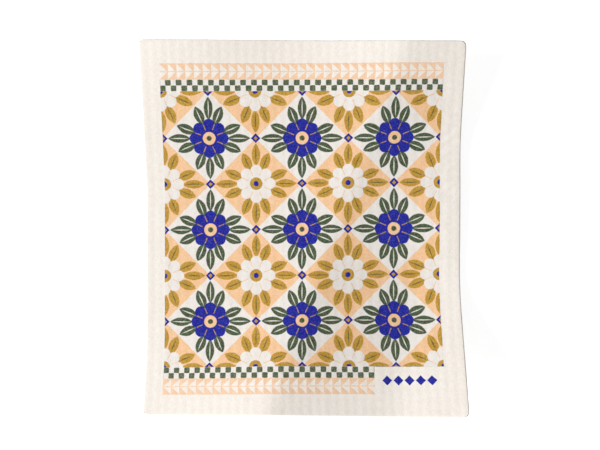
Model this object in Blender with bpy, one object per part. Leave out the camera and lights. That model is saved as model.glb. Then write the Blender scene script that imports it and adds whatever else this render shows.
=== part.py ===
"""A sponge cloth: one die-cut sheet of cellulose and cotton sponge, with a fine waffle pressed into its face.

Metres, +Z up. X runs across the cloth and +Y towards its top edge. It lies as it dried: both ends have curled
up, most at two opposite corners, and a fold has left a low ridge across the middle. It rests on the middles of
its left and right edges. The origin is at the middle of its box, on the surface that it lies on. The print is
ink in the sponge, so it is in the face's material and adds no thickness.
"""

import math

import bmesh
import bpy
from mathutils import Vector

# The die-cut sheet
CLOTH_WIDTH = 0.170
CLOTH_LENGTH = 0.200
SHEET_THICKNESS = 0.0017  # up to the bottom of the furrows
CORNER_RADIUS = 0.003
CORNER_CUTS = 5
RIM_ROUNDING = 0.0003  # where the die has pinched the two rims

# The waffle pressed into the face
WAFFLE_PITCH = 0.00475
PILLOW_HEIGHT = 0.00008

# How the sheet has curled. At its left and right edges each bend starts this far from the cloth's middle, and
# turns the end of the sheet up by this angle, in degrees. In between, both change evenly.
BEND_RADIUS = 0.080
TOP_BEND_START = (0.0151, 0.0374)
TOP_BEND_ANGLE = (16.7, 15.1)
BOTTOM_BEND_START = (0.0572, 0.0251)
BOTTOM_BEND_ANGLE = (19.6, 22.1)

# The slow waves along the two raised ends: their height at the edge, their length, and the place of one crest
TOP_WAVE_HEIGHT = 0.00064
TOP_WAVE_LENGTH = 0.107
TOP_WAVE_CREST = 0.057
BOTTOM_WAVE_HEIGHT = 0.00108
BOTTOM_WAVE_LENGTH = 0.1235
BOTTOM_WAVE_CREST = -0.0071

# The soft ridge left by a fold, from the middle of the bottom edge to the right half of the top edge. Its left
# slope is even. Its right one is steeper and runs out to level. Pairs are for the bottom and the top edge.
RIDGE_X = (-0.0196, 0.0518)
RIDGE_BOW = 0.0021
RIDGE_HEIGHT = (0.0036, 0.0018)
RIDGE_SOFTNESS = 0.0077
RIDGE_LEFT_FOOT = (0.0634, 0.130)
RIDGE_RIGHT_FOOT = 0.025
RIDGE_RIGHT_EASING = 0.080

# The print: tiles standing on their points, cream and peach in turn, between bands of checks and flying geese
PRINT_SHIFT_X = -0.0005
PRINT_SHIFT_Y = -0.0003
FIELD_WIDTH = 0.1486
FIELD_LENGTH = 0.1489
TILES_ACROSS = 3
CHECKS_ACROSS = 53
CHECK_ROW = 0.00295
CHECK_ROUNDING = 0.0006
GEESE_ACROSS = 33
GEESE_BAND = 0.00835
GOOSE_LENGTH = 0.0043
GOOSE_HEIGHT = 0.0078
GOOSE_SPLIT = 0.0005
INK_FADE = 0.00015  # over which the edge of an ink fades out

# The flower in each tile, measured from the tile's middle
DISC_RADIUS = 0.0075
PETAL_RADIUS = 0.0031
PETAL_PLACE = 0.0073
SEAM_START = 0.0047
SEAM_END = 0.0080
SEAM_WIDTH = 0.00044
CENTRE_RADIUS = 0.0034
EYE_RADIUS = 0.0014
POINT_LEAF_PLACE = 0.0158
POINT_LEAF_LENGTH = 0.0122
POINT_LEAF_WIDTH = 0.0046
POINT_RIB_LENGTH = 0.0088
SIDE_LEAF_PLACE = 0.0129
SIDE_LEAF_LENGTH = 0.0106
SIDE_LEAF_WIDTH = 0.0051
SIDE_RIB_LENGTH = 0.0074
RIB_WIDTH = 0.0005
LOZENGE_WIDTH = 0.0052
LOZENGE_HEART = 0.0022

# The corner of the print that its lower bands leave free, and the row of lozenges in it
FREE_WIDTH = 0.0363
FREE_LOZENGES = 5
FREE_LOZENGE_PITCH = 0.0058

CREAM = (0.90, 0.84, 0.76)
PEACH = (0.94, 0.57, 0.335)
PALE_PEACH = (0.93, 0.62, 0.42)
BLUE = (0.018, 0.024, 0.32)
GREEN = (0.078, 0.105, 0.054)
OCHRE = (0.50, 0.29, 0.042)
SPONGE_ROUGHNESS = 0.9


def clear_scene():
    for old in list(bpy.data.objects):
        bpy.data.objects.remove(old)


def waffled_sheet():
    """The flat sheet: a grid of cells with its corners rounded, then its thickness, rims and pillows."""
    columns = round(CLOTH_WIDTH / WAFFLE_PITCH)
    rows = round(CLOTH_LENGTH / WAFFLE_PITCH)
    bm = bmesh.new()
    bmesh.ops.create_grid(bm, x_segments=columns, y_segments=rows, size=0.5)
    bmesh.ops.scale(bm, vec=(CLOTH_WIDTH, CLOTH_LENGTH, 1), verts=bm.verts)
    for side in (-1, 1):
        for end in (-1, 1):
            round_corner(bm, side, end)
    thicken(bm)
    emboss(bm, (CLOTH_WIDTH / columns) * (CLOTH_LENGTH / rows))
    return bm


def round_corner(bm, side, end):
    """Cuts one corner of the flat grid along straight facets that touch its rounding."""
    centre = Vector((side * (CLOTH_WIDTH / 2 - CORNER_RADIUS), end * (CLOTH_LENGTH / 2 - CORNER_RADIUS), 0))
    for cut in range(1, CORNER_CUTS + 1):
        angle = math.radians(90) * cut / (CORNER_CUTS + 1)
        outwards = Vector((side * math.cos(angle), end * math.sin(angle), 0))
        bmesh.ops.bisect_plane(
            bm,
            geom=bm.verts[:] + bm.edges[:] + bm.faces[:],
            dist=CORNER_RADIUS / 1000,
            plane_co=centre + outwards * CORNER_RADIUS,
            plane_no=outwards,
            clear_outer=True,
        )


def thicken(bm):
    """Gives the grid its thickness, with the underside at height 0, and rounds the two rims."""
    made = bmesh.ops.extrude_face_region(bm, geom=bm.faces[:])["geom"]
    raised = [part for part in made if isinstance(part, bmesh.types.BMVert)]
    bmesh.ops.translate(bm, vec=(0, 0, SHEET_THICKNESS), verts=raised)
    bmesh.ops.recalc_face_normals(bm, faces=bm.faces)
    rims = [edge for edge in bm.edges if {is_wall(face) for face in edge.link_faces} == {True, False}]
    bmesh.ops.bevel(bm, geom=rims, offset=RIM_ROUNDING, segments=1, affect="EDGES")


def is_wall(face):
    return abs(face.normal.z) < 0.5


def emboss(bm, full_cell):
    """Raises a pillow in the middle of each cell of the face. One that a rounded corner cuts is lower."""
    cells = [face for face in bm.faces if face.normal.z > 0.999]
    heights = [PILLOW_HEIGHT * min(cell.calc_area() / full_cell, 1) for cell in cells]
    for cell, height in zip(cells, heights):
        middle = bmesh.ops.poke(bm, faces=[cell])["verts"][0]
        middle.co.z += height


def mark_faces(bm):
    """Gives the face its printed material, and each point its place on the flat sheet as a UV."""
    flat_sheet = bm.loops.layers.uv.new("flat_sheet")
    for face in bm.faces:
        face.material_index = 0 if face.normal.z > 0.5 else 1
        face.smooth = True
        for corner in face.loops:
            place = corner.vert.co
            corner[flat_sheet].uv = (place.x / CLOTH_WIDTH + 0.5, place.y / CLOTH_LENGTH + 0.5)


def ramp(place, middle, easing):
    """A line that is level up to a place and then climbs at a slope of 1, eased from one to the other."""
    turned = min(max((place - middle) / easing + 0.5, 0), 1)
    return easing * (turned ** 3 - turned ** 4 / 2) + max(place - middle - easing / 2, 0)


def ridge(x, y):
    """How high the fold's soft ridge lifts a place on the flat sheet."""
    up = y / CLOTH_LENGTH + 0.5
    crest = Vector((RIDGE_X[1] - RIDGE_X[0], CLOTH_LENGTH)).normalized()
    right = (x - RIDGE_X[0]) * crest.y - (y + CLOTH_LENGTH / 2) * crest.x - 4 * RIDGE_BOW * up * (1 - up)
    height = between(RIDGE_HEIGHT, up)
    left_slope = height / between(RIDGE_LEFT_FOOT, up)
    right_slope = height / RIDGE_RIGHT_FOOT
    return (
        height + left_slope * right
        - (left_slope + right_slope) * ramp(right, 0, RIDGE_SOFTNESS)
        + right_slope * ramp(right, RIDGE_RIGHT_FOOT, RIDGE_RIGHT_EASING)
    )


def curled(place):
    """Where a point of the flat sheet lies once the fold and the curl of both ends have lifted it."""
    across = place.x / CLOTH_WIDTH + 0.5
    if place.y > 0:
        start = between(TOP_BEND_START, across)
        angle = math.radians(between(TOP_BEND_ANGLE, across))
        wave = wave_at(place.x, TOP_WAVE_HEIGHT, TOP_WAVE_LENGTH, TOP_WAVE_CREST)
    else:
        start = between(BOTTOM_BEND_START, across)
        angle = math.radians(between(BOTTOM_BEND_ANGLE, across))
        wave = wave_at(place.x, BOTTOM_WAVE_HEIGHT, BOTTOM_WAVE_LENGTH, BOTTOM_WAVE_CREST)
    past = max(abs(place.y) - start, 0)
    turned = min(past / BEND_RADIUS, angle)
    straight = past - BEND_RADIUS * turned
    run = abs(place.y) - past + BEND_RADIUS * math.sin(turned) + straight * math.cos(turned)
    rise = BEND_RADIUS * (1 - math.cos(turned)) + straight * math.sin(turned)
    rise += wave * (past / (CLOTH_LENGTH / 2 - start)) ** 2
    height = place.z + ridge(place.x, place.y)
    along = math.copysign(run - height * math.sin(turned), place.y)
    return Vector((place.x, along, rise + height * math.cos(turned)))


def between(values, share):
    """The value that far on the way from the first of two values to the second."""
    first, second = values
    return first + (second - first) * share


def wave_at(x, height, length, crest):
    return height * math.cos(2 * math.pi * (x - crest) / length)


def curl(bm):
    """Curls the sheet, and puts the middle of its box over the origin."""
    for vert in bm.verts:
        vert.co = curled(vert.co)
    alongs = [vert.co.y for vert in bm.verts]
    bmesh.ops.translate(bm, vec=(0, -(min(alongs) + max(alongs)) / 2, 0), verts=bm.verts)


class Field:
    """A number that varies over the printed face: an output in the material's nodes, used like a number."""

    def __init__(self, socket):
        self.socket = socket

    def __add__(self, other):
        return worked_out("ADD", self, other)

    def __sub__(self, other):
        return worked_out("SUBTRACT", self, other)

    def __rsub__(self, other):
        return worked_out("SUBTRACT", other, self)

    def __mul__(self, other):
        return worked_out("MULTIPLY", self, other)

    def __neg__(self):
        return worked_out("MULTIPLY", self, -1)

    def __abs__(self):
        return worked_out("ABSOLUTE", self)


def worked_out(operation, *values):
    """A Math node for that operation on fields and plain numbers."""
    tree = next(value.socket.id_data for value in values if isinstance(value, Field))
    node = tree.nodes.new("ShaderNodeMath")
    node.operation = operation
    for socket, value in zip(node.inputs, values):
        if isinstance(value, Field):
            tree.links.new(value.socket, socket)
        else:
            socket.default_value = value
    return Field(node.outputs[0])


# A shape is given by how far outside its edge a place lies, which is negative inside the shape.


def within_all(first, *others):
    """The shape that all of these shapes share."""
    for other in others:
        first = worked_out("MAXIMUM", first, other)
    return first


def disc(x, y, radius):
    return worked_out("SQRT", x * x + y * y) - radius


def lozenge(x, y, width):
    return abs(x) + abs(y) - width / 2


def lens(along, across, length, width):
    """A leaf shape with two pointed ends: where two equal discs overlap."""
    radius = (length ** 2 + width ** 2) / (4 * width)
    return disc(along, abs(across) + (radius - width / 2), radius)


def stripe(place, start, end):
    return within_all(start - place, place - end)


def repeated(place, pitch):
    """A place measured from the middle of the pitch that it lies in. One pitch starts at 0."""
    return worked_out("WRAP", place - pitch / 2, pitch / 2, -pitch / 2)


def inked(under, over, shape):
    """The colour, as a field's output or a plain colour, where a shape is printed over what is there."""
    tree = shape.socket.id_data
    cover = worked_out("MULTIPLY_ADD", shape, -1 / INK_FADE, 0.5)
    cover.socket.node.use_clamp = True
    mix = tree.nodes.new("ShaderNodeMix")
    mix.data_type = "RGBA"
    factor, colours = mix.inputs[0], mix.inputs[6:8]
    tree.links.new(cover.socket, factor)
    for socket, colour in zip(colours, (under, over)):
        if isinstance(colour, tuple):
            socket.default_value = (*colour, 1)
        else:
            tree.links.new(colour, socket)
    return mix.outputs[2]


def tile_colour(x, y):
    """The lattice of tiles. Both kinds have the same flower in other inks, with a leaf towards each of their points
    and one to either side of that."""
    tile = FIELD_WIDTH / TILES_ACROSS
    half = tile / 2
    across = abs(repeated(x, tile))
    along = abs(repeated(y * (FIELD_WIDTH / FIELD_LENGTH), tile))
    cream_tile = across + along - half
    in_cream = worked_out("LESS_THAN", cream_tile, 0)
    u = across * in_cream + (half - across) * (1 - in_cream)
    v = along * in_cream + (half - along) * (1 - in_cream)
    far = worked_out("MAXIMUM", u, v)
    near = worked_out("MINIMUM", u, v)
    eighth = math.radians(22.5)
    outwards = far * math.cos(eighth) + near * math.sin(eighth)
    sideways = near * math.cos(eighth) - far * math.sin(eighth)
    diagonal = math.sqrt(0.5)
    shapes = (
        (lens(outwards - SIDE_LEAF_PLACE, sideways, SIDE_LEAF_LENGTH, SIDE_LEAF_WIDTH), GREEN, OCHRE),
        (lens(outwards - SIDE_LEAF_PLACE, sideways, SIDE_RIB_LENGTH, RIB_WIDTH), CREAM, GREEN),
        (lens(far - POINT_LEAF_PLACE, near, POINT_LEAF_LENGTH, POINT_LEAF_WIDTH), GREEN, OCHRE),
        (lens(far - POINT_LEAF_PLACE, near, POINT_RIB_LENGTH, RIB_WIDTH), CREAM, GREEN),
        (disc(far, near, DISC_RADIUS), BLUE, CREAM),
        (disc(far - PETAL_PLACE, near, PETAL_RADIUS), BLUE, CREAM),
        (disc(far - PETAL_PLACE * diagonal, near - PETAL_PLACE * diagonal, PETAL_RADIUS), BLUE, CREAM),
        (within_all(stripe(outwards, SEAM_START, SEAM_END), abs(sideways) - SEAM_WIDTH / 2), OCHRE, PEACH),
        (disc(far, near, CENTRE_RADIUS), PEACH, OCHRE),
        (disc(far, near, EYE_RADIUS), GREEN, BLUE),
        (lozenge(far - half, near, LOZENGE_WIDTH), BLUE, BLUE),
        (lozenge(far - half, near, LOZENGE_HEART), OCHRE, OCHRE),
    )
    colour = inked(PEACH, CREAM, cream_tile)
    for shape, on_cream, on_peach in shapes:
        colour = inked(colour, inked(on_peach, on_cream, cream_tile), shape)
    return colour


def checks(x, rows):
    """Two rows of checks with rounded corners. The rows are measured from the line between them."""
    check = FIELD_WIDTH / CHECKS_ACROSS
    half_width = check / 2 - CHECK_ROUNDING
    half_height = CHECK_ROW / 2 - CHECK_ROUNDING
    above = worked_out("GREATER_THAN", rows, 0)
    from_middle = abs(repeated(x + above * check + check / 2, 2 * check))
    from_row = abs(abs(rows) - CHECK_ROW / 2)
    return disc(
        worked_out("MAXIMUM", from_middle - half_width, 0),
        worked_out("MAXIMUM", from_row - half_height, 0),
        CHECK_ROUNDING,
    )


def round_geese(x, rows):
    """The ground round a row of triangles that point along X, each split along its middle."""
    pitch = FIELD_WIDTH / GEESE_ACROSS
    to_point = (GOOSE_LENGTH - pitch / 2) - repeated(x, pitch)
    off_middle = abs(rows)
    slant = off_middle - to_point * (GOOSE_HEIGHT / 2 / GOOSE_LENGTH)
    return -within_all(slant, GOOSE_SPLIT / 2 - off_middle)


def print_colour(x, y):
    """The whole print, from places measured from its lower left corner of the tiled field."""
    checks_start = FIELD_LENGTH / 2
    checks_end = checks_start + 2 * CHECK_ROW
    geese_end = checks_end + GEESE_BAND
    from_middle = y - FIELD_LENGTH / 2
    end = worked_out("SIGN", from_middle)
    off_middle = abs(from_middle)
    in_width = stripe(x, 0, FIELD_WIDTH)
    free = within_all(FIELD_WIDTH - FREE_WIDTH - x, y)
    check_band = within_all(in_width, stripe(off_middle, checks_start, checks_end), -free)
    geese_band = within_all(in_width, stripe(off_middle, checks_end, geese_end), -free)
    pointing = (x - FIELD_WIDTH / 2) * end + FIELD_WIDTH / 2
    free_x = x - (FIELD_WIDTH - FREE_WIDTH / 2)
    free_row = within_all(
        lozenge(repeated(free_x + FREE_LOZENGES * FREE_LOZENGE_PITCH / 2, FREE_LOZENGE_PITCH),
                y + (CHECK_ROW + GEESE_BAND / 2), LOZENGE_WIDTH),
        abs(free_x) - FREE_LOZENGES * FREE_LOZENGE_PITCH / 2,
    )
    colour = inked(CREAM, tile_colour(x, y), within_all(in_width, off_middle - checks_start))
    colour = inked(colour, GREEN, within_all(check_band, checks(x, off_middle - checks_start - CHECK_ROW)))
    geese = round_geese(pointing, off_middle - checks_end - GEESE_BAND / 2)
    colour = inked(colour, PALE_PEACH, within_all(geese_band, geese))
    return inked(colour, BLUE, free_row)


def sponge_material(name):
    """Plain cream sponge."""
    material = bpy.data.materials.new(name)
    material.use_nodes = True
    material.diffuse_color = (*CREAM, 1)
    shader = material.node_tree.nodes["Principled BSDF"]
    shader.inputs["Base Color"].default_value = (*CREAM, 1)
    shader.inputs["Roughness"].default_value = SPONGE_ROUGHNESS
    shader.inputs["Metallic"].default_value = 0
    return material


def printed_material(name):
    """The same sponge with its print, laid out on the flat sheet."""
    material = sponge_material(name)
    tree = material.node_tree
    uv = tree.nodes.new("ShaderNodeUVMap")
    uv.uv_map = "flat_sheet"
    parts = tree.nodes.new("ShaderNodeSeparateXYZ")
    tree.links.new(uv.outputs["UV"], parts.inputs[0])
    x = Field(parts.outputs[0]) * CLOTH_WIDTH - (CLOTH_WIDTH / 2 + PRINT_SHIFT_X - FIELD_WIDTH / 2)
    y = Field(parts.outputs[1]) * CLOTH_LENGTH - (CLOTH_LENGTH / 2 + PRINT_SHIFT_Y - FIELD_LENGTH / 2)
    tree.links.new(print_colour(x, y), tree.nodes["Principled BSDF"].inputs["Base Color"])
    return material


def main():
    clear_scene()
    bm = waffled_sheet()
    mark_faces(bm)
    curl(bm)
    mesh = bpy.data.meshes.new("sponge_cloth")
    bm.to_mesh(mesh)
    bm.free()
    mesh.materials.append(printed_material("printed_sponge"))
    mesh.materials.append(sponge_material("plain_sponge"))
    cloth = bpy.data.objects.new("sponge_cloth", mesh)
    bpy.context.collection.objects.link(cloth)


main()
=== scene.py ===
"""The looks of a sponge cloth: its embossed, curled sheet as a fine mesh, its print and its fibrous sponge.

Metres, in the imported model's frame: +X across the cloth, +Y towards its top edge, +Z up.
"""

import math

import bmesh
import bpy
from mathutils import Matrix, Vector, noise


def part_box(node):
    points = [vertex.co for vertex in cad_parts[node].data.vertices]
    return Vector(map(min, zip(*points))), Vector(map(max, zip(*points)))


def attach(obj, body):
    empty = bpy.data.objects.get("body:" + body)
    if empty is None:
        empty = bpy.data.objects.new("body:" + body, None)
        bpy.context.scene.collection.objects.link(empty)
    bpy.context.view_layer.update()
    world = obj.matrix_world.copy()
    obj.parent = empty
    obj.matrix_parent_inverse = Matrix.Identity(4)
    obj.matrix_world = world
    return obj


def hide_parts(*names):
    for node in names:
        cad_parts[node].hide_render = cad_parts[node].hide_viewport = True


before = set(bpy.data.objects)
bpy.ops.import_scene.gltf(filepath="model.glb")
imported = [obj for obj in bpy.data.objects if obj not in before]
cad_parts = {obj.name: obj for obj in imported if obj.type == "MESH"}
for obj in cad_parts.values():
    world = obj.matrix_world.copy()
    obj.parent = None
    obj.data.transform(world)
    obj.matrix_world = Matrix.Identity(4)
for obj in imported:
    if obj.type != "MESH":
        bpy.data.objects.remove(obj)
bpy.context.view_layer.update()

# The die-cut sheet
CLOTH_WIDTH = 0.170
CLOTH_LENGTH = 0.200
SHEET_THICKNESS = 0.0017  # up to the bottom of the furrows
CORNER_RADIUS = 0.003
CORNER_CUTS = 9
CUT_TOLERANCE = CORNER_RADIUS / 1000
RIM_ROUNDING = 0.00045
RIM_STEPS = 3
RIM_PROFILE = 0.5  # a round one

# The waffle: pillows on the face, and their faint hollows in the underside
WAFFLE_PITCH = 0.00475
POINTS_TO_A_CELL = 5
PILLOW_HEIGHT = 0.000055
HOLLOW_DEPTH = 0.00003
PILLOW_FULLNESS = 1.2

# How the sheet has curled. At its left and right edges each bend starts this far from the cloth's middle, and
# turns the end of the sheet up by this angle, in degrees. In between, both change evenly.
BEND_RADIUS = 0.080
TOP_BEND_START = (0.0114, 0.0339)
TOP_BEND_ANGLE = (14.6, 15.4)
BOTTOM_BEND_START = (0.0567, 0.0160)
BOTTOM_BEND_ANGLE = (17.5, 21.5)

# The slow waves along the two raised ends: their height at the edge, their length, and the place of one crest
TOP_WAVE_HEIGHT = 0.0007
TOP_WAVE_LENGTH = 0.127
TOP_WAVE_CREST = 0.0654
BOTTOM_WAVE_HEIGHT = 0.0002
BOTTOM_WAVE_LENGTH = 0.099
BOTTOM_WAVE_CREST = -0.0203

# The soft ridge left by a fold, from the middle of the bottom edge to the right half of the top edge. Its
# left slope is even, and its right one is steeper and ends in a soft foot. A pair of values is for the bottom
# and the top edge.
RIDGE_X = (-0.0190, 0.0535)
RIDGE_HEIGHT = (0.0018, 0.0012)
RIDGE_SOFTNESS = 0.0132
RIDGE_LEFT_SLOPE = (0.0430, 0.0210)
RIDGE_RIGHT_SLOPE = (0.082, 0.052)
RIDGE_FOOT = (0.0625, 0.0189)
RIDGE_FOOT_BOW = 0.0031
RIDGE_FOOT_EASING = (0.016, 0.038)

# The low swell between the ridge and the right edge
SWELL_HEIGHT = 0.0019
SWELL_PLACE = (0.0766, 0.0120)
SWELL_REACH = (0.0309, 0.0415)

# Unevenness that the die and the drying left
LUMP_HEIGHT = 0.00004
LUMP_SIZE = 0.009
COCKLE_HEIGHT = 0.00014
COCKLE_LENGTH = 0.0075
COCKLE_PITCH = 0.0024
COCKLE_SLANT = 0.35
COCKLE_PLACE = (0.0775, 0.034)
COCKLE_REACH = (0.010, 0.040)
RAGGED_EDGE = 0.00012
RAGGED_SIZE = 0.0016
RAGGED_REACH = 0.0010

# The print
PRINT_SHIFT_X = -0.0005
PRINT_SHIFT_Y = -0.0003
PRINT_SKEW = 0.0079  # how fast its level lines climb to the right
FIELD_WIDTH = 0.1486
FIELD_LENGTH = 0.1489
TILES_ACROSS = 3
CHECKS_ACROSS = 53
CHECK_ROW = 0.00295
CHECK_ROUNDING = 0.0006
CHECK_SPREAD = 0.0001  # how far their ink has spread
GEESE_ACROSS = 33
GEESE_BAND = 0.00835
GOOSE_LENGTH = 0.0043
GOOSE_HEIGHT = 0.0078
GOOSE_SPLIT = 0.0005
INK_FADE = 0.0003  # over which the edge of an ink fades out

# The flower in each tile, measured from the tile's middle
DISC_RADIUS = 0.0075
PETAL_RADIUS = 0.0031
PETAL_PLACE = 0.0073
SEAM_START = 0.0047
SEAM_END = 0.0080
SEAM_WIDTH = 0.00044
CENTRE_RADIUS = 0.0034
EYE_RADIUS = 0.0014
POINT_LEAF_PLACE = 0.0158
POINT_LEAF_LENGTH = 0.0122
POINT_LEAF_WIDTH = 0.0046
POINT_RIB_LENGTH = 0.0088
SIDE_LEAF_TURN = 22.5  # degrees off the line to the tile's point
SIDE_LEAF_PLACE = 0.0129
SIDE_LEAF_LENGTH = 0.0106
SIDE_LEAF_WIDTH = 0.0051
SIDE_RIB_LENGTH = 0.0074
RIB_WIDTH = 0.0005
LOZENGE_WIDTH = 0.0052
LOZENGE_HEART = 0.0022

# The corner of the print that its lower bands leave free
FREE_WIDTH = 0.0363
FREE_LOZENGES = 5
FREE_LOZENGE_PITCH = 0.0058

# The share of red, green and blue light that the bare sponge gives back, and the share of that light which
# each ink on it lets through
CREAM = (0.90, 0.848, 0.79)
BARE = (1.0, 1.0, 1.0)
WHITE_INK = (0.935, 0.945, 0.965)
PEACH = (1.0, 0.678, 0.424)
PALE_PEACH = (1.0, 0.731, 0.532)
BLUE = (0.0130, 0.0205, 0.392)
GREEN = (0.0765, 0.115, 0.0635)
PALE_GREEN = (0.115, 0.155, 0.095)
OCHRE = (0.565, 0.346, 0.0525)

# The sponge itself: clouds, felted fibres, open pores darkened with painted shade, and dark flecks
UNDERSIDE_COLOUR = (0.89, 0.83, 0.75)
CUT_COLOUR = (0.86, 0.79, 0.70)
SPONGE_ROUGHNESS = 0.90
SPONGE_SHINE = 0.15
FUZZ_SHEEN = 0.08
FUZZ_ROUGHNESS = 0.6
CLOUD_SIZE = 0.0024
CLOUD_DETAIL = 3.0
CLOUD_SEED = 0.0
CLOUD_HEIGHT = 0.000018
CLOUD_COLOUR = (0.93, 0.90, 0.86)
CLOUD_RANGE = (-0.05, 0.25)
CLOUD_STRENGTH = 0.35
FELT_SIZE = 0.0007
FELT_DETAIL = 3.0
FELT_SEED = 3.0
FELT_COARSENESS = 0.65
FELT_STRETCH = 1.8
FELT_HEIGHT = 0.000027
FELT_COLOUR = (0.86, 0.83, 0.78)
FELT_RANGE = (-0.15, 0.30)
FELT_STRENGTH = 0.7
FELT_ROUGHNESS = 0.10
PORE_SPACING = 0.0009
PORE_SEED = 1.0
PORE_RADIUS = 0.22
PORE_VARIETY = 0.6
PORE_DEPTH = 0.00006
CUT_PORE_DEPTH = 0.00022
# Painted shade in the pores: the colour that each pore's hollow is darkened towards, and how far
PORE_SHADE_COLOUR = (0.72, 0.67, 0.60)
PORE_SHADE_DARKNESS = 0.6
FLECK_SPACING = 0.0055
FLECK_SEED = 7.0
FLECK_RADIUS = 0.035
FLECK_CORE = 0.6  # the share of it that is darkest
FLECK_DRAW = (0.80, 0.85)  # only the points that draw more than this have one
FLECK_COLOUR = (0.30, 0.24, 0.18)
FLECK_DARKNESS = 0.6

# How the inks take: their edges creep and wander, and they lie thicker and thinner
BLEED_SIZE = 0.0005
BLEED_DETAIL = 2.0
BLEED_SEEDS = (11.0, 17.0)
BLEED_REACH = 0.00035
DRIFT_SIZE = 0.0035
DRIFT_DETAIL = 1.0
DRIFT_SEEDS = (13.0, 19.0)
DRIFT_REACH = 0.00045
INK_GRAIN = 0.0008
INK_GRAIN_DETAIL = 2.0
INK_GRAIN_SEED = 23.0
INK_GRAIN_COARSENESS = 0.6
INK_UNEVENNESS = 1.6

# The three materials of the cloth
FACE, UNDERSIDE, CUT_EDGE = range(3)
WALL_STEEPNESS = 0.5  # on the flat sheet, a wall's normal has less than this along Z

# The strip of the unwrapped map that each part of the cloth takes, from left to right
BAKE_MARGIN = 0.003
BAKE_STRIPS = {
    "face": (0.003, 0.780),
    "underside": (0.786, 0.944),
    "left_wall": (0.950, 0.958),
    "right_wall": (0.964, 0.972),
    "top_wall": (0.978, 0.984),
    "bottom_wall": (0.990, 0.997),
}

# The view: straight down on the cloth, a little off its middle
CAMERA_HEIGHT = 0.387
CAMERA_X = -0.0016
CAMERA_Y = 0.0019
CAMERA_NEAR = 0.01
SENSOR_WIDTH = 36  # in millimetres, as the lens is
LENS = 42.6

# A low, soft light from the left and a little from the cloth's bottom edge, and light from all round. The
# angles are in degrees.
KEY_STRENGTH = 6.9
KEY_TILT = 70
KEY_TURN = 9.4
KEY_SOFTNESS = 25
ROOM_STRENGTH = 0.24
FLOOR_SIZE = 3.0
FLOOR_GAP = 0.00005
FLOOR_COLOUR = (0.92, 0.92, 0.92)
FLOOR_ROUGHNESS = 0.8
FLOOR_LIFT = 0.76  # how much lighter the camera sees it


def flat_sheet():
    """The flat sheet: a fine grid with its corners rounded, then its thickness and its rounded rims."""
    bm = bmesh.new()
    columns = round(CLOTH_WIDTH / WAFFLE_PITCH) * POINTS_TO_A_CELL
    rows = round(CLOTH_LENGTH / WAFFLE_PITCH) * POINTS_TO_A_CELL
    bmesh.ops.create_grid(bm, x_segments=columns, y_segments=rows, size=0.5)
    bmesh.ops.scale(bm, vec=(CLOTH_WIDTH, CLOTH_LENGTH, 1), verts=bm.verts)
    for side in (-1, 1):
        for end in (-1, 1):
            round_corner(bm, side, end)
    thicken(bm)
    return bm


def round_corner(bm, side, end):
    """Cuts one corner of the flat grid along straight facets that touch its rounding."""
    centre = Vector((side * (CLOTH_WIDTH / 2 - CORNER_RADIUS), end * (CLOTH_LENGTH / 2 - CORNER_RADIUS), 0))
    for cut in range(1, CORNER_CUTS + 1):
        angle = math.radians(90) * cut / (CORNER_CUTS + 1)
        outwards = Vector((side * math.cos(angle), end * math.sin(angle), 0))
        bmesh.ops.bisect_plane(
            bm,
            geom=bm.verts[:] + bm.edges[:] + bm.faces[:],
            dist=CUT_TOLERANCE,
            plane_co=centre + outwards * CORNER_RADIUS,
            plane_no=outwards,
            clear_outer=True,
        )


def thicken(bm):
    """Gives the grid its thickness, with the underside at height 0, and rounds the two rims."""
    made = bmesh.ops.extrude_face_region(bm, geom=bm.faces[:])["geom"]
    raised = [part for part in made if isinstance(part, bmesh.types.BMVert)]
    bmesh.ops.translate(bm, vec=(0, 0, SHEET_THICKNESS), verts=raised)
    bmesh.ops.recalc_face_normals(bm, faces=bm.faces)
    rims = [edge for edge in bm.edges if {is_wall(face) for face in edge.link_faces} == {True, False}]
    bmesh.ops.bevel(
        bm, geom=rims, offset=RIM_ROUNDING, segments=RIM_STEPS, profile=RIM_PROFILE, affect="EDGES"
    )


def is_wall(face):
    return abs(face.normal.z) < WALL_STEEPNESS


def pillow(x, y):
    """The share of a pillow's height at a place on the flat sheet: 0 along the furrows, 1 in the middle."""
    columns = round(CLOTH_WIDTH / WAFFLE_PITCH)
    rows = round(CLOTH_LENGTH / WAFFLE_PITCH)
    across = math.sin(math.pi * (x / CLOTH_WIDTH + 0.5) * columns)
    along = math.sin(math.pi * (y / CLOTH_LENGTH + 0.5) * rows)
    return abs(across * along) ** PILLOW_FULLNESS


def emboss(bm):
    """Presses the waffle, a little unevenly, into the flat sheet, and frays its cut edge."""
    for vert in bm.verts:
        x, y, z = vert.co
        up = z / SHEET_THICKNESS
        waffle = pillow(x, y)
        lump = noise.noise(Vector((x, y, 0)) / LUMP_SIZE) * LUMP_HEIGHT
        vert.co.z += waffle * (PILLOW_HEIGHT * up + HOLLOW_DEPTH * (1 - up)) + lump + cockle(x, y)
        near_side = max(1 - (CLOTH_WIDTH / 2 - abs(x)) / RAGGED_REACH, 0)
        near_end = max(1 - (CLOTH_LENGTH / 2 - abs(y)) / RAGGED_REACH, 0)
        frayed = noise.noise(Vector((x, y, z)) / RAGGED_SIZE) * RAGGED_EDGE
        vert.co.x += math.copysign(frayed * near_side, x)
        vert.co.y += math.copysign(frayed * near_end, y)


def nearness(x, y, place, reach):
    """1 at a place on the flat sheet, and softly less further from it."""
    return math.exp(-((x - place[0]) / reach[0]) ** 2 - ((y - place[1]) / reach[1]) ** 2)


def cockle(x, y):
    """The height of the small creases across the right margin, which are strongest round one place."""
    crease = noise.noise(Vector((x / COCKLE_LENGTH, (y - COCKLE_SLANT * x) / COCKLE_PITCH, 0)))
    return crease * COCKLE_HEIGHT * nearness(x, y, COCKLE_PLACE, COCKLE_REACH)


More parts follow.
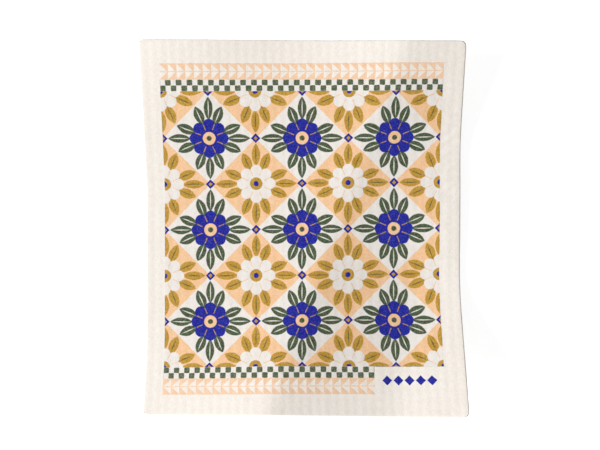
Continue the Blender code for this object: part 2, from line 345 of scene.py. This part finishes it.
def ramp(place, middle, easing):
    """A line that is level up to a place and then climbs at a slope of 1, eased from one to the other."""
    turned = min(max((place - middle) / easing + 0.5, 0), 1)
    return easing * (turned ** 3 - turned ** 4 / 2) + max(place - middle - easing / 2, 0)


def ridge(x, y):
    """How high the fold's soft ridge lifts a place on the flat sheet."""
    up = y / CLOTH_LENGTH + 0.5
    crest = Vector((RIDGE_X[1] - RIDGE_X[0], CLOTH_LENGTH)).normalized()
    right = (x - RIDGE_X[0]) * crest.y - (y + CLOTH_LENGTH / 2) * crest.x
    foot = between(RIDGE_FOOT, up) + RIDGE_FOOT_BOW * 4 * up * (1 - up)
    left_slope = between(RIDGE_LEFT_SLOPE, up)
    right_slope = between(RIDGE_RIGHT_SLOPE, up)
    return (
        between(RIDGE_HEIGHT, up) + left_slope * right
        - (left_slope + right_slope) * ramp(right, 0, RIDGE_SOFTNESS)
        + right_slope * ramp(right, foot, between(RIDGE_FOOT_EASING, up))
    )


def swell(x, y):
    """How high the low swell on the right lifts a place on the flat sheet."""
    return SWELL_HEIGHT * nearness(x, y, SWELL_PLACE, SWELL_REACH)


def curled(place):
    """Where a point of the flat sheet lies once the fold and the curl of both ends have lifted it."""
    across = place.x / CLOTH_WIDTH + 0.5
    if place.y > 0:
        start = between(TOP_BEND_START, across)
        angle = math.radians(between(TOP_BEND_ANGLE, across))
        wave = wave_at(place.x, TOP_WAVE_HEIGHT, TOP_WAVE_LENGTH, TOP_WAVE_CREST)
    else:
        start = between(BOTTOM_BEND_START, across)
        angle = math.radians(between(BOTTOM_BEND_ANGLE, across))
        wave = wave_at(place.x, BOTTOM_WAVE_HEIGHT, BOTTOM_WAVE_LENGTH, BOTTOM_WAVE_CREST)
    past = max(abs(place.y) - start, 0)
    turned = min(past / BEND_RADIUS, angle)
    straight = past - BEND_RADIUS * turned
    run = abs(place.y) - past + BEND_RADIUS * math.sin(turned) + straight * math.cos(turned)
    rise = BEND_RADIUS * (1 - math.cos(turned)) + straight * math.sin(turned)
    rise += wave * (past / (CLOTH_LENGTH / 2 - start)) ** 2
    height = place.z + ridge(place.x, place.y) + swell(place.x, place.y)
    along = math.copysign(run - height * math.sin(turned), place.y)
    return Vector((place.x, along, rise + height * math.cos(turned)))


def between(values, share):
    """The value that far on the way from the first of two values to the second."""
    first, second = values
    return first + (second - first) * share


def wave_at(x, height, length, crest):
    return height * math.cos(2 * math.pi * (x - crest) / length)


def mark_faces(bm):
    """Gives the face, the underside and the cut edge their materials and each point its two UV places."""
    flat_sheet_uv = bm.loops.layers.uv.new("flat_sheet")
    bake_uv = bm.loops.layers.uv.new("OFBake")
    for face in bm.faces:
        face.smooth = True
        if face.normal.z > WALL_STEEPNESS:
            face.material_index, part = FACE, "face"
        elif face.normal.z < -WALL_STEEPNESS:
            face.material_index, part = UNDERSIDE, "underside"
        else:
            face.material_index, part = CUT_EDGE, wall_part(face.normal)
        left, right = BAKE_STRIPS[part]
        for corner in face.loops:
            x, y, z = corner.vert.co
            u, v = x / CLOTH_WIDTH + 0.5, y / CLOTH_LENGTH + 0.5
            corner[flat_sheet_uv].uv = (u, v)
            if face.material_index == CUT_EDGE:
                u, v = z / SHEET_THICKNESS, (v if abs(face.normal.x) > abs(face.normal.y) else u)
            corner[bake_uv].uv = (left + (right - left) * u, BAKE_MARGIN + (1 - 2 * BAKE_MARGIN) * v)


def wall_part(normal):
    if abs(normal.x) > abs(normal.y):
        return "right_wall" if normal.x > 0 else "left_wall"
    return "top_wall" if normal.y > 0 else "bottom_wall"


def settle(bm):
    """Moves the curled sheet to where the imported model's cloth lies. Returns how far along Y."""
    low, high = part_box("sponge_cloth")
    ys = [vert.co.y for vert in bm.verts]
    zs = [vert.co.z for vert in bm.verts]
    shift = Vector((0, (low[1] + high[1] - min(ys) - max(ys)) / 2, low[2] - min(zs)))
    bmesh.ops.translate(bm, vec=shift, verts=bm.verts)
    return shift.y


class Field:
    """A number or a colour that varies over the surface: an output in a material's nodes."""

    def __init__(self, socket):
        self.socket = socket

    def __add__(self, other):
        return worked_out("ADD", self, other)

    def __sub__(self, other):
        return worked_out("SUBTRACT", self, other)

    def __rsub__(self, other):
        return worked_out("SUBTRACT", other, self)

    def __mul__(self, other):
        return worked_out("MULTIPLY", self, other)

    def __neg__(self):
        return worked_out("MULTIPLY", self, -1)

    def __abs__(self):
        return worked_out("ABSOLUTE", self)


def feed(socket, value):
    """Gives a node's input a field, a plain number or a plain colour."""
    if isinstance(value, Field):
        socket.id_data.links.new(value.socket, socket)
    elif isinstance(value, tuple):
        socket.default_value = (*value, 1)
    else:
        socket.default_value = value


def new_node(kind, *values):
    """A new node in the material that these fields belong to."""
    tree = next(value.socket.id_data for value in values if isinstance(value, Field))
    return tree.nodes.new(kind)


def worked_out(operation, *values):
    """A Math node for that operation on fields and plain numbers."""
    node = new_node("ShaderNodeMath", *values)
    node.operation = operation
    for socket, value in zip(node.inputs, values):
        feed(socket, value)
    return Field(node.outputs[0])


def clamped(field):
    field.socket.node.use_clamp = True
    return field


def stepped(field, start, end):
    """0 up to the start, 1 from the end on, and an even slope between them."""
    return clamped((field - start) * (1 / (end - start)))


# A shape is given by how far outside its edge a place lies, which is negative inside the shape.


def within_all(first, *others):
    """The shape that all of these shapes share."""
    for other in others:
        first = worked_out("MAXIMUM", first, other)
    return first


def disc(x, y, radius):
    return worked_out("SQRT", x * x + y * y) - radius


def lozenge(x, y, width):
    return abs(x) + abs(y) - width / 2


def lens(along, across, length, width):
    """A leaf shape with two pointed ends: where two equal discs overlap."""
    radius = (length ** 2 + width ** 2) / (4 * width)
    return disc(along, abs(across) + (radius - width / 2), radius)


def stripe(place, start, end):
    return within_all(start - place, place - end)


def repeated(place, pitch):
    """A place measured from the middle of the pitch that it lies in. One pitch starts at 0."""
    return worked_out("WRAP", place - pitch / 2, pitch / 2, -pitch / 2)


def mixed(under, over, cover, way="MIX"):
    """One colour over another, as far as the cover says."""
    node = new_node("ShaderNodeMix", under, over, cover)
    node.data_type = "RGBA"
    node.blend_type = way
    feed(node.inputs[0], cover)
    feed(node.inputs[6], under)
    feed(node.inputs[7], over)
    return Field(node.outputs[2])


def inked(under, over, shape):
    return mixed(under, over, clamped(worked_out("MULTIPLY_ADD", shape, -1 / INK_FADE, 0.5)))


def laid(ink, density):
    """What an ink lets through where it lies thicker or thinner: its share of light, to the power of its
    density."""
    node = new_node("ShaderNodeGamma", ink)
    feed(node.inputs[0], ink)
    feed(node.inputs[1], density)
    return Field(node.outputs[0])


def tile_colour(x, y):
    """The lattice of tiles. Both kinds have the same flower in other inks, with a leaf towards each of their
    points and one to either side of that."""
    tile = FIELD_WIDTH / TILES_ACROSS
    half = tile / 2
    across = abs(repeated(x, tile))
    along = abs(repeated(y * (FIELD_WIDTH / FIELD_LENGTH), tile))
    cream_tile = across + along - half
    in_cream = worked_out("LESS_THAN", cream_tile, 0)
    u = across * in_cream + (half - across) * (1 - in_cream)
    v = along * in_cream + (half - along) * (1 - in_cream)
    far = worked_out("MAXIMUM", u, v)
    near = worked_out("MINIMUM", u, v)
    turn = math.radians(SIDE_LEAF_TURN)
    outwards = far * math.cos(turn) + near * math.sin(turn)
    sideways = near * math.cos(turn) - far * math.sin(turn)
    diagonal = math.sqrt(0.5)
    shapes = (
        (lens(outwards - SIDE_LEAF_PLACE, sideways, SIDE_LEAF_LENGTH, SIDE_LEAF_WIDTH), GREEN, OCHRE),
        (lens(outwards - SIDE_LEAF_PLACE, sideways, SIDE_RIB_LENGTH, RIB_WIDTH), BARE, GREEN),
        (lens(far - POINT_LEAF_PLACE, near, POINT_LEAF_LENGTH, POINT_LEAF_WIDTH), GREEN, OCHRE),
        (lens(far - POINT_LEAF_PLACE, near, POINT_RIB_LENGTH, RIB_WIDTH), BARE, GREEN),
        (disc(far, near, DISC_RADIUS), BLUE, WHITE_INK),
        (disc(far - PETAL_PLACE, near, PETAL_RADIUS), BLUE, WHITE_INK),
        (disc(far - PETAL_PLACE * diagonal, near - PETAL_PLACE * diagonal, PETAL_RADIUS), BLUE, WHITE_INK),
        (within_all(stripe(outwards, SEAM_START, SEAM_END), abs(sideways) - SEAM_WIDTH / 2), OCHRE, PEACH),
        (disc(far, near, CENTRE_RADIUS), PEACH, OCHRE),
        (disc(far, near, EYE_RADIUS), GREEN, BLUE),
        (lozenge(far - half, near, LOZENGE_WIDTH), BLUE, BLUE),
        (lozenge(far - half, near, LOZENGE_HEART), OCHRE, OCHRE),
    )
    colour = inked(PEACH, WHITE_INK, cream_tile)
    for shape, on_cream, on_peach in shapes:
        colour = inked(colour, inked(on_peach, on_cream, cream_tile), shape)
    return colour


def checks(x, rows):
    """Two rows of checks with rounded corners. The rows are measured from the line between them."""
    check = FIELD_WIDTH / CHECKS_ACROSS
    half_width = check / 2 - CHECK_ROUNDING
    half_height = CHECK_ROW / 2 - CHECK_ROUNDING
    above = worked_out("GREATER_THAN", rows, 0)
    from_middle = abs(repeated(x + above * check + check / 2, 2 * check))
    from_row = abs(abs(rows) - CHECK_ROW / 2)
    return disc(
        worked_out("MAXIMUM", from_middle - half_width, 0),
        worked_out("MAXIMUM", from_row - half_height, 0),
        CHECK_ROUNDING + CHECK_SPREAD,
    )


def geese(x, rows):
    """A row of triangles that point along X, each split along its middle."""
    pitch = FIELD_WIDTH / GEESE_ACROSS
    to_point = (GOOSE_LENGTH - pitch / 2) - repeated(x, pitch)
    off_middle = abs(rows)
    slant = off_middle - to_point * (GOOSE_HEIGHT / 2 / GOOSE_LENGTH)
    return within_all(slant, GOOSE_SPLIT / 2 - off_middle)


def print_colour(x, y):
    """What the whole print lets through. Places are measured from the lower left corner of its tiles."""
    checks_start = FIELD_LENGTH / 2
    checks_end = checks_start + 2 * CHECK_ROW
    geese_end = checks_end + GEESE_BAND
    from_middle = y - FIELD_LENGTH / 2
    end = worked_out("SIGN", from_middle)
    off_middle = abs(from_middle)
    in_width = stripe(x, 0, FIELD_WIDTH)
    free = within_all(FIELD_WIDTH - FREE_WIDTH - x, y)
    check_band = within_all(in_width, stripe(off_middle, checks_start, checks_end), -free)
    geese_band = within_all(in_width, stripe(off_middle, checks_end, geese_end), -free)
    pointing = (x - FIELD_WIDTH / 2) * end + FIELD_WIDTH / 2
    free_x = x - (FIELD_WIDTH - FREE_WIDTH / 2)
    free_row = within_all(
        lozenge(repeated(free_x + FREE_LOZENGES * FREE_LOZENGE_PITCH / 2, FREE_LOZENGE_PITCH),
                y + (CHECK_ROW + GEESE_BAND / 2), LOZENGE_WIDTH),
        abs(free_x) - FREE_LOZENGES * FREE_LOZENGE_PITCH / 2,
    )
    check_rows = checks(x, off_middle - checks_start - CHECK_ROW)
    goose_row = geese(pointing, off_middle - checks_end - GEESE_BAND / 2)
    colour = inked(BARE, tile_colour(x, y), within_all(in_width, off_middle - checks_start))
    colour = inked(colour, inked(WHITE_INK, PALE_GREEN, check_rows), check_band)
    colour = inked(colour, inked(PALE_PEACH, BARE, goose_row), geese_band)
    return inked(colour, BLUE, free_row)


class Sponge:
    """A matte, fibrous sponge material being made: its nodes, its shader and its place in the object."""

    def __init__(self, name):
        self.material = bpy.data.materials.new(name)
        self.material.use_nodes = True
        self.tree = self.material.node_tree
        self.shader = self.tree.nodes["Principled BSDF"]
        self.place = self.tree.nodes.new("ShaderNodeTexCoord").outputs["Object"]

    def cloudy(self, size, detail, seed, coarseness=0.5, stretch=1.0):
        """Even noise from about -0.5 to 0.5, with features of that size, or longer along the cloth."""
        squeezed = self.tree.nodes.new("ShaderNodeVectorMath")
        squeezed.operation = "MULTIPLY"
        squeezed.inputs[1].default_value = (1, 1 / stretch, 1)
        self.tree.links.new(self.place, squeezed.inputs[0])
        node = self.tree.nodes.new("ShaderNodeTexNoise")
        node.noise_dimensions = "4D"
        node.inputs["W"].default_value = seed
        node.inputs["Scale"].default_value = 1 / size
        node.inputs["Detail"].default_value = detail
        node.inputs["Roughness"].default_value = coarseness
        self.tree.links.new(squeezed.outputs[0], node.inputs["Vector"])
        return Field(node.outputs[0]) - 0.5

    def pores(self, spacing, seed):
        """How far a place is from the nearest of some scattered points, as a share of their spacing, and a
        number that differs from point to point."""
        node = self.tree.nodes.new("ShaderNodeTexVoronoi")
        node.voronoi_dimensions = "4D"
        node.inputs["W"].default_value = seed
        node.inputs["Scale"].default_value = 1 / spacing
        self.tree.links.new(self.place, node.inputs["Vector"])
        parts = self.tree.nodes.new("ShaderNodeSeparateColor")
        self.tree.links.new(node.outputs["Color"], parts.inputs[0])
        return Field(node.outputs["Distance"]), Field(parts.outputs[0])

    def finish(self, colour, roughness, height):
        """Links the colour, roughness and surface height, in metres, to the shader."""
        bump = self.tree.nodes.new("ShaderNodeBump")
        bump.inputs["Strength"].default_value = 1
        bump.inputs["Distance"].default_value = 1
        feed(bump.inputs["Height"], height)
        self.tree.links.new(bump.outputs[0], self.shader.inputs["Normal"])
        feed(self.shader.inputs["Base Color"], colour)
        feed(self.shader.inputs["Roughness"], roughness)
        self.shader.inputs["Metallic"].default_value = 0
        self.shader.inputs["Specular IOR Level"].default_value = SPONGE_SHINE
        self.shader.inputs["Sheen Weight"].default_value = FUZZ_SHEEN
        self.shader.inputs["Sheen Roughness"].default_value = FUZZ_ROUGHNESS
        return self.material


def sponge_surface(sponge, colour, pore_depth):
    """Adds what all the sponge shows: cloudy cream, felted fibres, open pores in painted shade and the odd
    dark fleck.
    """
    clouds = sponge.cloudy(CLOUD_SIZE, CLOUD_DETAIL, CLOUD_SEED)
    felt = sponge.cloudy(FELT_SIZE, FELT_DETAIL, FELT_SEED, FELT_COARSENESS, FELT_STRETCH)
    colour = mixed(colour, CLOUD_COLOUR, stepped(clouds, *CLOUD_RANGE) * CLOUD_STRENGTH, "MULTIPLY")
    colour = mixed(colour, FELT_COLOUR, stepped(felt, *FELT_RANGE) * FELT_STRENGTH, "MULTIPLY")
    distance, size = sponge.pores(PORE_SPACING, PORE_SEED)
    pit = clamped(1 - distance * (1 / PORE_RADIUS) + (size - 0.5) * PORE_VARIETY)
    # painted shade: the colour darkens in each pore as its hollow would be shaded, on top of the pressed-in
    # relief
    colour = mixed(colour, PORE_SHADE_COLOUR, pit * PORE_SHADE_DARKNESS, "MULTIPLY")
    fleck_distance, draw = sponge.pores(FLECK_SPACING, FLECK_SEED)
    fleck = stepped(fleck_distance, FLECK_RADIUS, FLECK_RADIUS * FLECK_CORE) * stepped(draw, *FLECK_DRAW)
    colour = mixed(colour, FLECK_COLOUR, fleck * FLECK_DARKNESS)
    roughness = felt * FELT_ROUGHNESS + SPONGE_ROUGHNESS
    height = felt * FELT_HEIGHT + clouds * CLOUD_HEIGHT - pit * pore_depth
    return sponge.finish(colour, roughness, height)


def printed_sponge():
    """The waffled face with its print, whose inks sink into the sponge unevenly."""
    sponge = Sponge("printed_sponge")
    uv = sponge.tree.nodes.new("ShaderNodeUVMap")
    uv.uv_map = "flat_sheet"
    parts = sponge.tree.nodes.new("ShaderNodeSeparateXYZ")
    sponge.tree.links.new(uv.outputs["UV"], parts.inputs[0])
    x = Field(parts.outputs[0]) * CLOTH_WIDTH - (CLOTH_WIDTH / 2 + PRINT_SHIFT_X - FIELD_WIDTH / 2)
    y = Field(parts.outputs[1]) * CLOTH_LENGTH - (CLOTH_LENGTH / 2 + PRINT_SHIFT_Y - FIELD_LENGTH / 2)
    y -= (x - FIELD_WIDTH / 2) * PRINT_SKEW
    x += sponge.cloudy(BLEED_SIZE, BLEED_DETAIL, BLEED_SEEDS[0]) * BLEED_REACH
    y += sponge.cloudy(BLEED_SIZE, BLEED_DETAIL, BLEED_SEEDS[1]) * BLEED_REACH
    x += sponge.cloudy(DRIFT_SIZE, DRIFT_DETAIL, DRIFT_SEEDS[0]) * DRIFT_REACH
    y += sponge.cloudy(DRIFT_SIZE, DRIFT_DETAIL, DRIFT_SEEDS[1]) * DRIFT_REACH
    grain = sponge.cloudy(INK_GRAIN, INK_GRAIN_DETAIL, INK_GRAIN_SEED, INK_GRAIN_COARSENESS)
    density = grain * INK_UNEVENNESS + 1
    colour = mixed(laid(print_colour(x, y), density), CREAM, 1, "MULTIPLY")
    return sponge_surface(sponge, colour, PORE_DEPTH)


def plain_sponge(name, colour, pore_depth):
    return sponge_surface(Sponge(name), colour, pore_depth)


def make_cloth():
    """The whole sheet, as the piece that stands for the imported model's cloth. Returns its shift along Y."""
    bm = flat_sheet()
    mark_faces(bm)
    emboss(bm)
    for vert in bm.verts:
        vert.co = curled(vert.co)
    shift = settle(bm)
    mesh = bpy.data.meshes.new("cloth")
    bm.to_mesh(mesh)
    bm.free()
    mesh.materials.append(printed_sponge())
    mesh.materials.append(plain_sponge("plain_sponge", UNDERSIDE_COLOUR, PORE_DEPTH))
    mesh.materials.append(plain_sponge("cut_sponge", CUT_COLOUR, CUT_PORE_DEPTH))
    cloth = bpy.data.objects.new("cloth", mesh)
    bpy.context.collection.objects.link(cloth)
    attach(cloth, "root")
    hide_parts("sponge_cloth")
    return shift


def camera_rays(tree):
    """1 for what the camera sees straight, in a mirror or through glass, and 0 for other light."""
    path = tree.nodes.new("ShaderNodeLightPath")
    seen = Field(path.outputs["Is Camera Ray"]) + Field(path.outputs["Is Glossy Ray"])
    return clamped(seen + Field(path.outputs["Is Transmission Ray"]))


def make_floor():
    """A white floor that keeps the cloth's shadow."""
    bpy.ops.mesh.primitive_plane_add(size=FLOOR_SIZE, location=(0, 0, -FLOOR_GAP))
    floor = bpy.context.object
    floor.name = "floor"
    material = bpy.data.materials.new("white_floor")
    material.use_nodes = True
    tree = material.node_tree
    shader = tree.nodes["Principled BSDF"]
    shader.inputs["Base Color"].default_value = (*FLOOR_COLOUR, 1)
    shader.inputs["Roughness"].default_value = FLOOR_ROUGHNESS
    shader.inputs["Specular IOR Level"].default_value = 0
    glow = tree.nodes.new("ShaderNodeEmission")
    feed(glow.inputs["Strength"], camera_rays(tree) * FLOOR_LIFT)
    both = tree.nodes.new("ShaderNodeAddShader")
    tree.links.new(shader.outputs[0], both.inputs[0])
    tree.links.new(glow.outputs[0], both.inputs[1])
    tree.links.new(both.outputs[0], tree.nodes["Material Output"].inputs[0])
    floor.data.materials.append(material)


def make_light():
    """A soft light from the left, and even light from the white room."""
    key = bpy.data.objects.new("key", bpy.data.lights.new("key", "SUN"))
    key.data.energy = KEY_STRENGTH
    key.data.angle = math.radians(KEY_SOFTNESS)
    key.rotation_euler = (0, -math.radians(KEY_TILT), math.radians(KEY_TURN))
    bpy.context.collection.objects.link(key)
    world = bpy.data.worlds.new("room")
    world.use_nodes = True
    background = world.node_tree.nodes["Background"]
    background.inputs["Color"].default_value = (1, 1, 1, 1)
    seen = camera_rays(world.node_tree)
    feed(background.inputs["Strength"], seen * (1 - ROOM_STRENGTH) + ROOM_STRENGTH)
    bpy.context.scene.world = world


def make_camera(shift):
    camera = bpy.data.objects.new("camera", bpy.data.cameras.new("camera"))
    camera.data.sensor_width = SENSOR_WIDTH
    camera.data.lens = LENS
    camera.data.clip_start = CAMERA_NEAR
    camera.location = (CAMERA_X, CAMERA_Y + shift, CAMERA_HEIGHT)
    bpy.context.collection.objects.link(camera)
    bpy.context.scene.camera = camera


def main():
    shift = make_cloth()
    make_floor()
    make_light()
    make_camera(shift)
    bpy.context.scene.view_settings.view_transform = "Standard"


main()
